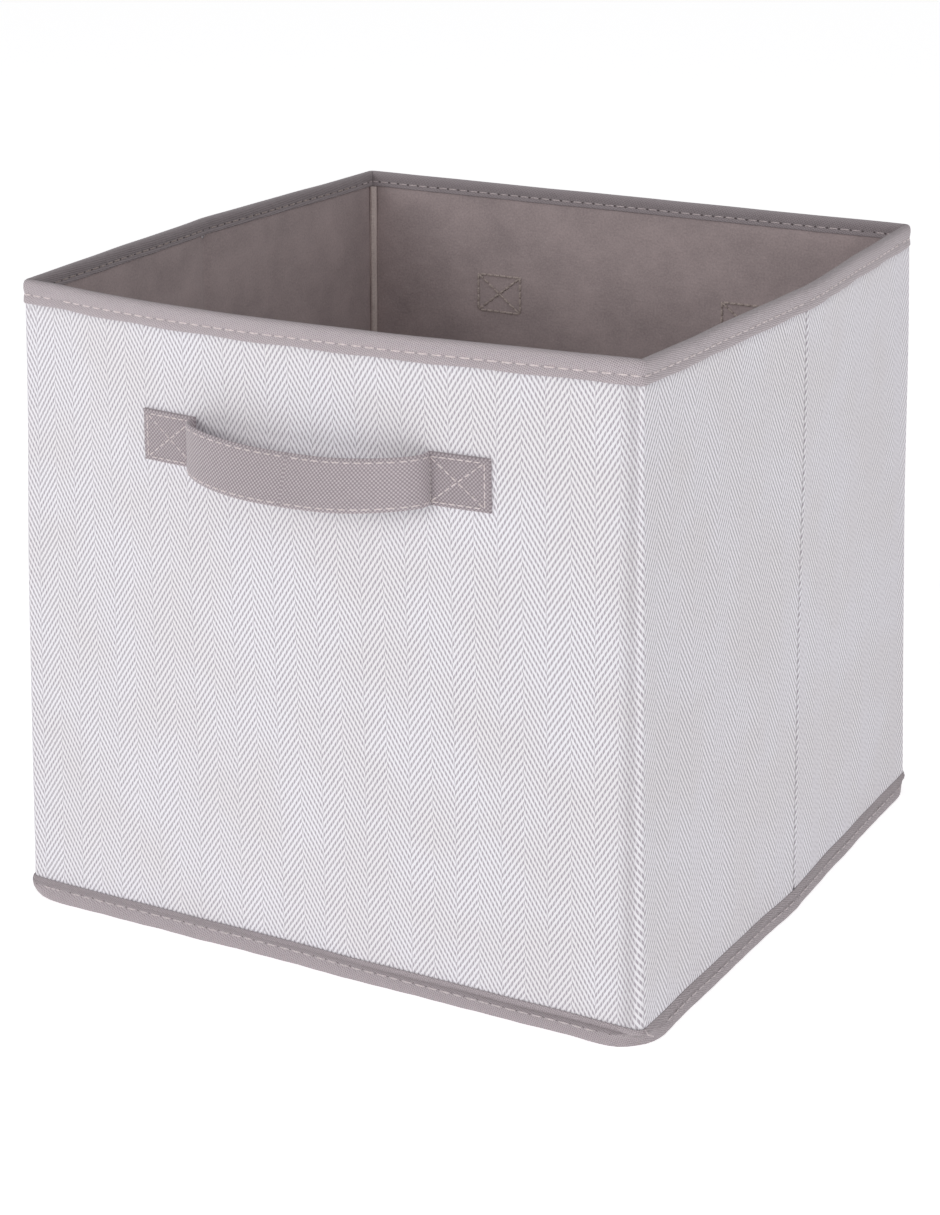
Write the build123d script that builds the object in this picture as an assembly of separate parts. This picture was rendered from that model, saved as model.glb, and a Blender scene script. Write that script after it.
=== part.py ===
"""A collapsible fabric storage bin: card-stiffened walls that fold flat, two strap handles.

Millimetres. +X runs along the front, +Y towards the back, +Z up.
The origin is on the floor, under the middle of the bin.
"""
import math
import os

from build123d import *

# Overall size, outside of the fabric
bin_width = 330.0
bin_depth = 326.0
bin_height = 315.0
corner_radius = 3.0

# Wall build-up, from the outer face inwards
fabric_thickness = 0.6
card_thickness = 2.2
lining_thickness = 0.4
wall_thickness = fabric_thickness + card_thickness + lining_thickness

# Bindings: a folded tape over the rim, and another round the seam of the bottom
top_binding_height = 11.0
tape_thickness = 1.1
bottom_binding_height = 10.0
front_binding_stands_out = 3.0
side_binding_stands_out = 2.0
bottom_binding_radius = 9.0
foot_thickness = 0.9

# How one wall panel turns on the next. The corners turn on a line inside the inner corner,
# the creases on a line outside the cloth, and each crease stands a little outwards at rest.
hinge_inset = 2.0
crease_standoff = 2.4
crease_bulge = 6.0
hinge_gap = 0.6
crease_gap = 1.0

# Loose base inside, on the bottom fabric
bottom_fabric_lift = 0.2
base_card_thickness = 2.4
base_cover_thickness = 0.4
base_gap = 1.0
base_turn_in = 20.0

# Sewing thread
thread_width = 0.5
thread_height = 0.3
top_stitch_drop = 7.0
bottom_stitch_rise = 5.0
stitch_corner_gap = 8.0
stitch_crease_gap = 2.0

# Strap handles
strap_width = 24.5
strap_thickness = 2.0
strap_span = 125.0
strap_end_length = 29.0
strap_bulge = 24.0
strap_droop = 12.0
strap_drop = 66.0
strap_shoulder = 16.5
strap_tip_half_width = 0.4
strap_stitch_inset = 2.0
box_stitch_inset = 3.0

half_width = bin_width / 2
half_depth = bin_depth / 2
rim_seam = bin_height - top_binding_height
handle_height = bin_height - strap_drop
far = 2 * max(bin_width, bin_depth)

# The corner hinge lines, and the length and outward turn of each half of a side wall
hinge_x = half_width - wall_thickness - hinge_inset
hinge_y = half_depth - wall_thickness - hinge_inset
crease_turn = math.asin(crease_bulge / hinge_y)
crease_depth = hinge_inset + wall_thickness + crease_standoff
half_length = (hinge_y + crease_depth * math.sin(crease_turn)) / math.cos(crease_turn)


def ring(outer, inner, bottom, top, outer_radius=None, inner_radius=None):
    """A band right round the bin between two depths under its outer face."""
    outlines = []
    for offset, radius in ((outer, outer_radius), (inner, inner_radius)):
        width = bin_width - 2 * offset
        depth = bin_depth - 2 * offset
        rounding = corner_radius - offset if radius is None else radius
        if rounding > 0.05:
            outlines.append(RectangleRounded(width, depth, rounding))
        else:
            outlines.append(Rectangle(width, depth))
    band = extrude(outlines[0] - outlines[1], top - bottom)
    return Pos(0, 0, bottom) * band


def block(low, high):
    """A box from its lowest corner to its highest corner."""
    size = [b - a for a, b in zip(low, high)]
    middle = [(a + b) / 2 for a, b in zip(low, high)]
    return Pos(*middle) * Box(*size)


def panel_zones(reach):
    """The space that each wall panel may fill; front and back reach this far in."""
    butt = half_depth - reach
    side = half_depth - wall_thickness - hinge_gap
    crease = hinge_y - half_length + crease_gap / 2
    low, high = -far, far
    return {
        "front": block((low, low, low), (high, -butt, high)),
        "back": block((low, butt, low), (high, high, high)),
        "left_front": block((low, -side, low), (-far / 8, -crease, high)),
        "left_rear": block((low, crease, low), (-far / 8, side, high)),
        "right_front": block((far / 8, -side, low), (high, -crease, high)),
        "right_rear": block((far / 8, crease, low), (high, side, high)),
    }


def turned_out(panel, shape):
    """Turn half of a side wall outwards about its corner hinge; front and back stay straight."""
    if "_" not in panel:
        return shape
    side, end = panel.split("_")
    x = hinge_x if side == "right" else -hinge_x
    y = hinge_y if end == "rear" else -hinge_y
    turn = math.degrees(crease_turn) * (1 if x * y > 0 else -1)
    return Pos(x, y, 0) * Rot(0, 0, turn) * Pos(-x, -y, 0) * shape


def outer_fabric():
    """Printed cloth: down the face, and a step inwards to run up inside the binding."""
    step = tape_thickness + fabric_thickness
    face = ring(0, fabric_thickness, foot_thickness, rim_seam)
    ledge = ring(0, step, rim_seam - fabric_thickness, rim_seam)
    upstand = ring(tape_thickness, step, rim_seam, bin_height - tape_thickness)
    return face + ledge + upstand


def lining():
    """Thin lining: up the inner face, and a step outwards to run up inside the binding."""
    step = tape_thickness + fabric_thickness
    inner = wall_thickness - lining_thickness
    face = ring(inner, wall_thickness, foot_thickness, rim_seam)
    ledge = ring(step, wall_thickness, rim_seam - fabric_thickness, rim_seam)
    upstand = ring(step, step + lining_thickness, rim_seam, bin_height - tape_thickness)
    return face + ledge + upstand


def card():
    """The stiffener between cloth and lining, stopping under the rim's sewn edge."""
    inner = wall_thickness - lining_thickness
    return ring(fabric_thickness, inner, foot_thickness, rim_seam - fabric_thickness)


def top_binding():
    """Folded tape over the rim: two legs joined across the top."""
    slot = wall_thickness - tape_thickness
    whole = ring(0, wall_thickness, rim_seam, bin_height)
    return whole - ring(tape_thickness, slot, rim_seam, bin_height - tape_thickness)


def bottom_binding(stands_out):
    """Tape round the seam of the bottom, standing out from the wall, with a foot under it."""
    out = -stands_out
    flange = ring(out, 0, 0, bottom_binding_height, bottom_binding_radius, corner_radius)
    foot = ring(out, wall_thickness, 0, foot_thickness, bottom_binding_radius, 0)
    return flange + foot


def stitch_row(outer, height):
    """One run of thread round the bin at a given height, outside the face at outer."""
    row = ring(outer - thread_height, outer, height - thread_width / 2,
               height + thread_width / 2)
    return row - corner_and_crease_gaps(stitch_corner_gap, stitch_crease_gap)


def corner_and_crease_gaps(corner, crease):
    """Space left without thread at the four corners and at the two creases."""
    gaps = [block((-far, -crease, -far), (far, crease, far))]
    for x in (-1, 1):
        for y in (-1, 1):
            middle = Pos(x * half_width, y * half_depth, 0)
            gaps.append(middle * Box(2 * corner, 2 * corner, 4 * far))
    return gaps


def top_stitching():
    """The row that closes the top tape, seen outside and inside."""
    height = bin_height - top_stitch_drop
    return stitch_row(0, height) + stitch_row(wall_thickness + thread_height, height)


def bottom_stitching(stands_out):
    """The row along the middle of the bottom tape."""
    return stitch_row(-stands_out, bottom_stitch_rise)


def wall_parts():
    """Every layer of every wall panel, cut from the bands that run round the bin."""
    butt = wall_thickness - lining_thickness
    shared = {
        "outer_fabric": (outer_fabric(), wall_thickness),
        "card": (card(), butt),
        "lining": (lining(), wall_thickness),
        "top_binding": (top_binding(), wall_thickness),
        "top_stitching": (top_stitching(), wall_thickness + thread_height),
    }
    found = {}
    for straight, stands_out in ((True, front_binding_stands_out), (False, side_binding_stands_out)):
        layers = {
            **shared,
            "bottom_binding": (bottom_binding(stands_out), wall_thickness),
            "bottom_stitching": (bottom_stitching(stands_out), wall_thickness),
        }
        for layer, (band, reach) in layers.items():
            for panel, zone in panel_zones(reach).items():
                if straight == (panel in ("front", "back")):
                    found[f"{panel}_{layer}"] = turned_out(panel, band & zone)
    return found


def base_parts():
    """Bottom cloth between the walls, and the loose card base wrapped in lining."""
    inside_width = bin_width - 2 * wall_thickness
    inside_depth = bin_depth - 2 * wall_thickness
    cloth = Box(inside_width - 2 * hinge_gap, inside_depth - 2 * hinge_gap, fabric_thickness,
                align=(Align.CENTER, Align.CENTER, Align.MIN))
    cover_width = inside_width - 2 * base_gap
    cover_depth = inside_depth - 2 * base_gap
    cover_height = base_card_thickness + 2 * base_cover_thickness
    wrap = 2 * base_cover_thickness
    base = (Align.CENTER, Align.CENTER, Align.MIN)
    board = Box(cover_width - wrap, cover_depth - wrap, base_card_thickness, align=base)
    board = Pos(0, 0, base_cover_thickness) * board
    turn = 2 * (base_cover_thickness + base_turn_in)
    window = Box(cover_width - turn, cover_depth - turn, base_cover_thickness, align=base)
    cover = Box(cover_width, cover_depth, cover_height, align=base) - board - window
    rest = Pos(0, 0, bottom_fabric_lift + fabric_thickness)
    return {
        "bottom_fabric": Pos(0, 0, bottom_fabric_lift) * cloth,
        "base_card": rest * board,
        "base_cover": rest * cover,
    }


def strap_arc(inner, outer, half_height):
    """The free span of a strap, bulging towards -Y from the wall face at y = 0."""
    half_span = strap_span / 2
    bulge = strap_bulge - strap_thickness / 2
    radius = (half_span**2 + bulge**2) / (2 * bulge)
    centre = radius - bulge - strap_thickness / 2
    disc = Pos(0, centre) * (Circle(radius + outer) - Circle(radius + inner))
    arc = disc & Pos(0, -far / 2 - strap_thickness / 4) * Rectangle(strap_span, far)
    return Pos(0, 0, -half_height) * extrude(arc, 2 * half_height)


def strap_outline():
    """Seen from the front the span narrows to a tip at each sewn end, where cloth twists."""
    tip = strap_span / 2
    shoulder = tip - strap_shoulder
    half = strap_width / 2
    small = strap_tip_half_width
    corners = [(-tip, -small), (-shoulder, -half), (shoulder, -half), (tip, -small)]
    corners += [(x, -z) for x, z in reversed(corners)]
    face = make_face(Plane.XZ * Polyline(*corners, close=True))
    return extrude(face, amount=far / 4, both=True)


def box_stitch(y):
    """A sewn rectangle with a cross in it, its thread lying against the plane at y."""
    wide = strap_end_length - 2 * box_stitch_inset
    high = strap_width - 2 * box_stitch_inset
    across = math.degrees(math.atan2(high, wide))
    diagonal = math.hypot(wide, high)
    shape = Rectangle(wide, high) - Rectangle(wide - 2 * thread_width, high - 2 * thread_width)
    for turn in (-across, across):
        shape += Rot(0, 0, turn) * Rectangle(diagonal - 2 * thread_width, thread_width)
    thread = extrude(Plane.XZ * shape, amount=thread_height)
    return Pos(0, y, 0) * thread


def handle_parts():
    """One strap handle in front of a wall face at y = 0, at the height of its sewn ends."""
    end_place = strap_span / 2 + strap_end_length / 2
    ends = []
    stitching = []
    for side in (-1, 1):
        place = Pos(side * end_place, -strap_thickness / 2, 0)
        ends.append(place * Box(strap_end_length, strap_thickness, strap_width))
        for y in (-strap_thickness, wall_thickness + thread_height):
            stitching.append(Pos(side * end_place, 0, 0) * box_stitch(y))
    droop = Pos(0, -strap_thickness / 2, 0) * Rot(strap_droop, 0, 0)
    droop *= Pos(0, strap_thickness / 2, 0)
    outline = strap_outline()
    half = strap_thickness / 2
    strap = strap_arc(-half, half, strap_width / 2) & outline
    row_height = strap_width / 2 - strap_stitch_inset
    rows = []
    flat = block((-strap_span / 2 + strap_shoulder, -far, -far),
                 (strap_span / 2 - strap_shoulder, far, far))
    row = strap_arc(half, half + thread_height, thread_width / 2) & flat
    for side in (-1, 1):
        rows.append(Pos(0, 0, side * row_height) * row)
    return {
        "sewn_ends": ends,
        "box_stitching": stitching,
        "strap": [droop * strap],
        "strap_stitching": [droop * one for one in rows],
    }


def solids_of(shape):
    """The separate solids of a shape or of a list of shapes."""
    if isinstance(shape, list):
        return [solid for one in shape for solid in one.solids()]
    return list(shape.solids())


def write(node, shape):
    """Save one node, as one solid or as a group of separate solids."""
    solids = solids_of(shape)
    whole = solids[0] if len(solids) == 1 else Compound(children=solids)
    whole.label = node
    export_step(whole, f"parts/{node}.step")


os.makedirs("parts", exist_ok=True)
nodes = {**wall_parts(), **base_parts()}
front_face = Pos(0, -half_depth, handle_height)
back_face = Pos(0, half_depth, handle_height) * Rot(0, 0, 180)
for wall, place in (("front", front_face), ("back", back_face)):
    for piece, shapes in handle_parts().items():
        nodes[f"{wall}_handle_{piece}"] = [place * shape for shape in shapes]
for node, shape in nodes.items():
    write(node, shape)
print(len(nodes), "nodes")
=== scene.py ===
import math

import bmesh
import bpy
import numpy as np
from mathutils import Matrix, Vector


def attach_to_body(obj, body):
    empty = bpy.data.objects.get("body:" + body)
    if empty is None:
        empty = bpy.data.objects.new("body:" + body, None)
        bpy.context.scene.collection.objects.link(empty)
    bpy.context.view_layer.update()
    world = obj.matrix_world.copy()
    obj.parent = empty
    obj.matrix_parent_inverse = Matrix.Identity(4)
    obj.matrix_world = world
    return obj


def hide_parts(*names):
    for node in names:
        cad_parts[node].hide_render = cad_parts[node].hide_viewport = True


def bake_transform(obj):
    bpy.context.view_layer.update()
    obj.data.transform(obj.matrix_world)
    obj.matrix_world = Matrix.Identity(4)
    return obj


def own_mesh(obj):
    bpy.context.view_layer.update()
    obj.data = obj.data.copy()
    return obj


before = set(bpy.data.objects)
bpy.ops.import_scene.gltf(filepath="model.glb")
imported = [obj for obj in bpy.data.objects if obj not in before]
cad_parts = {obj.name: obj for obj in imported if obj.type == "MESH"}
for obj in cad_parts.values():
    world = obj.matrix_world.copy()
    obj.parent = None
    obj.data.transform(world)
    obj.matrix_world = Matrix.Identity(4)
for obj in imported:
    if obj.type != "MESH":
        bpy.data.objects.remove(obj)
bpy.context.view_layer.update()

# The frame is in metres; the numbers below are in millimetres.
mm = 0.001
scene = bpy.context.scene
print("stage: frame loaded")

# Shape of the wall. kink is how far a crease stands out, at the floor and at the rim.
wall = dict(halfWidth=165.0, halfDepth=163.0, height=315.0, block=20.0, radius=3.0, thick=3.2,
            lean=3.0, flare=4.0, bulge=13.0, kink=(3.5, 8.5), hingeX=159.8, hingeY=157.8, creaseX=171.0)
straightShare = 0.3
cornerRun = 2 * (wall["block"] - wall["radius"]) + math.pi / 2 * wall["radius"]
runLengths = [2 * (wall["halfWidth"] - wall["block"]), cornerRun,
              2 * (wall["halfDepth"] - wall["block"]), cornerRun] * 2
runStarts = np.concatenate([[0.0], np.cumsum(runLengths)])
perimeter = runStarts[-1]
tangents = np.array([(1, 0), (0, 1), (-1, 0), (0, -1)], float)
normals = np.array([(0, -1), (1, 0), (0, 1), (-1, 0)], float)


def wrap(w, inset, radius):
    # Plan of the wall. w runs 0 to 8: even numbers start a straight run, odd ones a corner
    # block of straight, quarter circle, straight. Returns x, y, outward normal and arc length.
    w, inset, radius = np.broadcast_arrays(*[np.asarray(v, float) for v in (w, inset, radius)])
    part = np.clip(np.floor(w), 0, 7).astype(int)
    f = w - part
    side = part // 2
    straight = part % 2 == 0
    half = np.array([wall["halfWidth"], wall["halfDepth"]] * 2)[side]
    out = np.array([wall["halfDepth"], wall["halfWidth"]] * 2)[side]
    block = wall["block"]
    r = np.clip(radius, 0.05, block - inset - 0.05)
    leg = block - inset - r
    s = straightShare
    turn = np.clip((f - s) / (1 - 2 * s), 0, 1) * np.pi / 2
    first, last = f < s, f > 1 - s
    along = np.where(first, leg * f / s, np.where(last, block - inset, leg + r * np.sin(turn)))
    away = np.where(first, block - inset, np.where(last, leg * (1 - f) / s, leg + r * np.cos(turn)))
    a = np.where(straight, (2 * f - 1) * (half - block), half - block + along)
    b = np.where(straight, out - inset, out - block + away)
    turn = np.where(straight, 0, turn)
    t, n = tangents[side], normals[side]
    x, y = a * t[..., 0] + b * n[..., 0], a * t[..., 1] + b * n[..., 1]
    nx = n[..., 0] * np.cos(turn) + t[..., 0] * np.sin(turn)
    ny = n[..., 1] * np.cos(turn) + t[..., 1] * np.sin(turn)
    total = 2 * leg + r * np.pi / 2
    walked = np.where(first, leg * f / s, np.where(last, total - leg * (1 - f) / s, leg + r * turn))
    inBlock = cornerRun * walked / total
    u = runStarts[part] + np.where(straight, f * np.array(runLengths)[part], inBlock)
    return x, y, nx, ny, u


def swell(x, z):
    # The front wall bows out between its corners, more at the rim, steeper at the left corner.
    s = np.clip((x + 158) / 316, 0, 1)
    h = np.clip(z / wall["height"], 0, 1)
    return wall["bulge"] * np.sin(np.pi * s) * (1 + 0.25 * np.cos(np.pi * s)) * h ** 1.3


def place(w, inset, z, radius=wall["radius"]):
    # A point at depth inset under the outer face: the plan, pushed along its normal by three sine
    # waves round the wall, then widened at the bottom and narrowed at the rim, bowed out at the
    # front, and pushed out along each crease, falling off evenly to the corners.
    x, y, nx, ny, u = wrap(w, inset, radius)
    z = np.broadcast_to(np.asarray(z, float), x.shape)
    around = 2 * np.pi * u / perimeter
    wave = (0.28 * np.sin(9 * around + z / 60) + 0.2 * np.sin(17 * around - z / 34 + 1.1)
            + 0.1 * np.sin(31 * around + z / 21 + 2.0))
    x, y = x + nx * wave, y + ny * wave
    h = z / wall["height"]
    wider = wall["flare"] * (1 - h) - wall["lean"] * h
    x = x * (1 + wider / wall["halfWidth"])
    y = y * (1 + wider / wall["halfDepth"])
    front = np.clip(-y / wall["halfDepth"] * 4 - 2.8, 0, 1)
    y = y - swell(x, z) * front
    toCrease = np.clip(1 - abs(y) / wall["hingeY"], 0, 1)
    x = x + np.interp(h, [0, 1], wall["kink"]) * toCrease * x / wall["halfWidth"]
    return np.stack([x, y, z], -1) * mm


def lengthAt(w):
    return wrap(w, 0, wall["radius"])[4]


tableW = np.linspace(0, 8, 3201)[:-1]
tableU = lengthAt(tableW)


def walkTo(u):
    return np.interp(u, tableU, tableW)


# Meshes.
def build(name, points, faces, uv=None, material=None, sharp=38):
    mesh = bpy.data.meshes.new(name)
    mesh.from_pydata(points.tolist(), [], faces)
    mesh.polygons.foreach_set("use_smooth", np.ones(len(faces), bool))
    if uv is not None:
        loops = np.empty(len(mesh.loops), np.int32)
        mesh.loops.foreach_get("vertex_index", loops)
        layer = mesh.uv_layers.new(name="UVMap")
        layer.data.foreach_set("uv", (uv * mm)[loops].astype(np.float32).ravel())
    mesh.set_sharp_from_angle(angle=math.radians(sharp))
    mesh.update()
    piece = bpy.data.objects.new(name, mesh)
    scene.collection.objects.link(piece)
    if material is not None:
        mesh.materials.append(material)
    return piece


def gridFaces(index):
    return np.stack([index[:-1, :-1], index[1:, :-1], index[1:, 1:], index[:-1, 1:]], -1).reshape(-1, 4)


def shell(name, outer, inner, uv, material):
    # Two grids with the same rows and columns, joined round their edges into one closed skin.
    columns, rows = outer.shape[:2]
    count = columns * rows
    index = np.arange(count).reshape(columns, rows)
    rim = np.concatenate([index[:, 0], index[-1, 1:], index[-2::-1, -1], index[0, -2:0:-1]])
    after = np.roll(rim, -1)
    faces = np.concatenate([
        gridFaces(index), gridFaces(index)[:, ::-1] + count,
        np.stack([after, rim, rim + count, after + count], -1)])
    points = np.concatenate([outer.reshape(-1, 3), inner.reshape(-1, 3)])
    flat = uv.reshape(-1, 2)
    return build(name, points, faces.tolist(), np.concatenate([flat, flat]), material)


def band(name, loops, uv, material):
    # A closed outline carried along the columns, capped at both ends.
    columns, rows = loops.shape[:2]
    index = np.arange(columns * rows).reshape(columns, rows)
    closed = np.concatenate([index, index[:, :1]], 1)
    faces = gridFaces(closed).tolist() + [index[0].tolist(), index[-1, ::-1].tolist()]
    return build(name, loops.reshape(-1, 3), faces, uv.reshape(-1, 2), material)


def threads(name, rows, material):
    # Each dash is a short closed tube. path(s, across, up) gives its place; s runs along the row.
    stations = np.array([0.0, 0.06, 0.25, 0.5, 0.75, 0.94, 1.0])
    swellAt = np.array([0.25, 0.75, 1.0, 1.05, 1.0, 0.75, 0.25])
    angle = np.arange(6) / 6 * 2 * np.pi
    points, faces, count = [], [], 0
    for path, starts, lengths, size in rows:
        starts, lengths = np.atleast_1d(starts), np.atleast_1d(lengths)
        if len(starts) == 0:
            continue
        s = starts[:, None, None] + lengths[:, None, None] * stations[None, :, None]
        thick = size * swellAt[None, :, None]
        across = thick * np.cos(angle)[None, None, :]
        up = thick * 0.8 * np.sin(angle)[None, None, :] + size * (swellAt[None, :, None] - 0.75)
        s, across, up = np.broadcast_arrays(s, across, up)
        found = path(s, across, up)
        one = np.arange(len(stations) * 6).reshape(len(stations), 6)
        closed = np.concatenate([one, one[:, :1]], 1)
        quads = gridFaces(closed)
        for k in range(len(starts)):
            base = count + k * one.size
            faces += (quads + base).tolist()
            faces += [(one[0] + base).tolist(), (one[-1, ::-1] + base).tolist()]
        points.append(found.reshape(-1, 3))
        count += len(starts) * one.size
    points = np.concatenate(points)
    piece = build(name, points, faces, points[:, :2] / mm, material, 60)
    facing(piece)
    return piece


def note(piece, name, values):
    # One number per point, kept on the mesh for the materials.
    kept = piece.data.attributes.new(name, "FLOAT", "POINT")
    kept.data.foreach_set("value", np.concatenate([np.ravel(v) for v in values]).astype(np.float32))


def facing(piece):
    # Turns every face of a piece outwards.
    work = bmesh.new()
    work.from_mesh(piece.data)
    bmesh.ops.recalc_face_normals(work, faces=work.faces)
    work.to_mesh(piece.data)
    work.free()


# Shader parts.
def tone(red, green, blue):
    linear = [c / 255 / 12.92 if c <= 10 else ((c / 255 + 0.055) / 1.055) ** 2.4
              for c in (red, green, blue)]
    return (*linear, 1.0)


def node(tree, kind, inputs=None, **settings):
    made = tree.nodes.new(kind)
    for key, value in settings.items():
        setattr(made, key, value)
    for key, value in (inputs or {}).items():
        if isinstance(value, bpy.types.NodeSocket):
            tree.links.new(value, made.inputs[key])
        else:
            made.inputs[key].default_value = value
    return made


def sums(tree, operation, *values):
    return node(tree, "ShaderNodeMath", dict(enumerate(values)), operation=operation).outputs[0]


def mixTone(tree, factor, a, b):
    return node(tree, "ShaderNodeMix", {0: factor, 6: a, 7: b}, data_type="RGBA").outputs[2]


def ramp(tree, value, low, high, start=0.0, end=1.0):
    return node(tree, "ShaderNodeMapRange", {0: value, 1: low, 2: high, 3: start, 4: end},
                interpolation_type="SMOOTHSTEP").outputs[0]


def noise(tree, vector, scale, detail=3.0, rough=0.55):
    return node(tree, "ShaderNodeTexNoise", {
        "Vector": vector, "Scale": scale, "Detail": detail, "Roughness": rough}).outputs[0]


def group(name, inputs, outputs):
    tree = bpy.data.node_groups.new(name, "ShaderNodeTree")
    for label, kind, value in inputs:
        socket = tree.interface.new_socket(label, in_out="INPUT", socket_type=kind)
        if value is not None:
            socket.default_value = value
    for label, kind in outputs:
        tree.interface.new_socket(label, in_out="OUTPUT", socket_type=kind)
    return tree, tree.nodes.new("NodeGroupInput"), tree.nodes.new("NodeGroupOutput")


def cloth(name, roughness=0.85, sheen=0.15):
    made = bpy.data.materials.new(name)
    made.use_nodes = True
    tree = made.node_tree
    tree.nodes.clear()
    skin = node(tree, "ShaderNodeBsdfPrincipled", {
        "Roughness": roughness, "Sheen Weight": sheen, "Sheen Roughness": 0.6,
        "Specular IOR Level": 0.25})
    node(tree, "ShaderNodeOutputMaterial", {"Surface": skin.outputs[0]})
    where = node(tree, "ShaderNodeTexCoord")
    return made, tree, skin, where


# Broken twill: slanting lines that rise and fall from column to column, shifted by half a line
# at each change, each line cut into short dashes.
twill = dict(column=11.5, pitch=3.95, slope=1.56, dash=1.3, cover=0.5)
twillTree, given, result = group("brokenTwill", [
    ("Place", "NodeSocketVector", None), ("Column", "NodeSocketFloat", 11.6),
    ("Pitch", "NodeSocketFloat", 3.95), ("Slope", "NodeSocketFloat", 1.4),
    ("Dash", "NodeSocketFloat", 1.35), ("Cover", "NodeSocketFloat", 0.45)],
    [("Mask", "NodeSocketFloat")])
t = twillTree
split = node(t, "ShaderNodeSeparateXYZ", {0: given.outputs["Place"]})
wobble = sums(t, "MULTIPLY", sums(t, "SUBTRACT", noise(t, given.outputs["Place"], 0.35, 2.0), 0.5), 0.9)
across, up = split.outputs[0], sums(t, "ADD", split.outputs[1], wobble)
columnIndex = sums(t, "FLOOR", sums(t, "DIVIDE", across, given.outputs["Column"]))
fold = sums(t, "PINGPONG", across, given.outputs["Column"])
phase = sums(t, "DIVIDE", sums(t, "MULTIPLY_ADD", fold, given.outputs["Slope"], up), given.outputs["Pitch"])
phase = sums(t, "MULTIPLY_ADD", columnIndex, 0.5, phase)
offset = sums(t, "ABSOLUTE", sums(t, "SUBTRACT", sums(t, "FRACT", phase), 0.5))
halfCover = sums(t, "MULTIPLY", given.outputs["Cover"], 0.5)
line = node(t, "ShaderNodeMapRange", {
    0: offset, 1: sums(t, "SUBTRACT", halfCover, 0.07), 2: sums(t, "ADD", halfCover, 0.07), 3: 1.0, 4: 0.0},
    interpolation_type="SMOOTHSTEP").outputs[0]
dash = sums(t, "MULTIPLY_ADD", sums(t, "FLOOR", phase), 0.5, sums(t, "DIVIDE", fold, given.outputs["Dash"]))
gap = ramp(t, sums(t, "ABSOLUTE", sums(t, "SUBTRACT", sums(t, "FRACT", dash), 0.5)), 0.27, 0.45)
t.links.new(sums(t, "MULTIPLY", line, sums(t, "MULTIPLY_ADD", gap, -0.8, 1.0)), result.inputs["Mask"])

# Fine cloth: two crossing sets of threads, as a height.
weaveTree, given, result = group("fineWeave", [
    ("Place", "NodeSocketVector", None), ("Threads", "NodeSocketFloat", 1.0),
    ("Slant", "NodeSocketFloat", 0.0)], [("Height", "NodeSocketFloat"), ("Speck", "NodeSocketFloat")])
t = weaveTree
split = node(t, "ShaderNodeSeparateXYZ", {0: given.outputs["Place"]})
leaning = sums(t, "MULTIPLY_ADD", split.outputs[1], given.outputs["Slant"], split.outputs[0])
slantBack = sums(t, "MULTIPLY", given.outputs["Slant"], -1.0)
rising = sums(t, "MULTIPLY_ADD", split.outputs[0], slantBack, split.outputs[1])
rate = sums(t, "MULTIPLY", given.outputs["Threads"], 2 * math.pi)
waveA = sums(t, "SINE", sums(t, "MULTIPLY", leaning, rate))
waveB = sums(t, "SINE", sums(t, "MULTIPLY", rising, rate))
both = sums(t, "MULTIPLY", waveA, waveB)
t.links.new(sums(t, "MULTIPLY_ADD", both, 0.5, 0.5), result.inputs["Height"])
t.links.new(noise(t, given.outputs["Place"], 1.6, 4.0, 0.7), result.inputs["Speck"])


def millimetres(tree, where, socket="UV"):
    return node(tree, "ShaderNodeVectorMath", {0: where.outputs[socket], 3: 1000.0}, operation="SCALE").outputs[0]


def useGroup(tree, kind, **inputs):
    made = node(tree, "ShaderNodeGroup", node_tree=kind)
    for key, value in inputs.items():
        if isinstance(value, bpy.types.NodeSocket):
            tree.links.new(value, made.inputs[key])
        else:
            made.inputs[key].default_value = value
    return made


def bump(tree, height, strength, distance, normal=None):
    made = node(tree, "ShaderNodeBump", {"Height": height, "Strength": strength, "Distance": distance})
    if normal is not None:
        tree.links.new(normal, made.inputs["Normal"])
    return made.outputs[0]


# Printed cloth: grey broken twill on white, with a slightly uneven ground.
printTone = dict(ground=tone(229, 227, 232), line=tone(157, 150, 158),
                 warm=tone(226, 223, 226), crease=tone(120, 113, 116))
printedCloth, t, skin, where = cloth("printedCloth", 0.9, 0.1)
spot = millimetres(t, where)
mask = useGroup(t, twillTree, Place=spot, Column=twill["column"], Pitch=twill["pitch"],
                Slope=twill["slope"], Dash=twill["dash"], Cover=twill["cover"]).outputs["Mask"]
weave = useGroup(t, weaveTree, Place=spot, Threads=1.1, Slant=0.0)
ground = mixTone(t, ramp(t, noise(t, spot, 0.02, 2.0), 0.35, 0.65), printTone["ground"], printTone["warm"])
uneven = ramp(t, noise(t, spot, 0.8, 3.0, 0.7), 0.2, 0.7, 0.72, 1.0)
colour = mixTone(t, sums(t, "MULTIPLY", mask, uneven), ground, printTone["line"])
# Painted shade: the pressed fold line down the middle of a side, and the rounded front right corner, are darkened
# in broken specks.
paintedShadeMask = node(t, "ShaderNodeAttribute", attribute_name="fold").outputs["Fac"]
shadeSpecks = ramp(t, noise(t, spot, 0.55, 2.0, 0.6), 0.35, 0.6, 0.6, 1.0)
colour = mixTone(t, sums(t, "MULTIPLY", paintedShadeMask, shadeSpecks), colour, printTone["crease"])
t.links.new(colour, skin.inputs["Base Color"])
relief = bump(t, weave.outputs["Height"], 0.25, 0.0002)
relief = bump(t, weave.outputs["Speck"], 0.25, 0.0005, relief)
t.links.new(relief, skin.inputs["Normal"])

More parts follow.
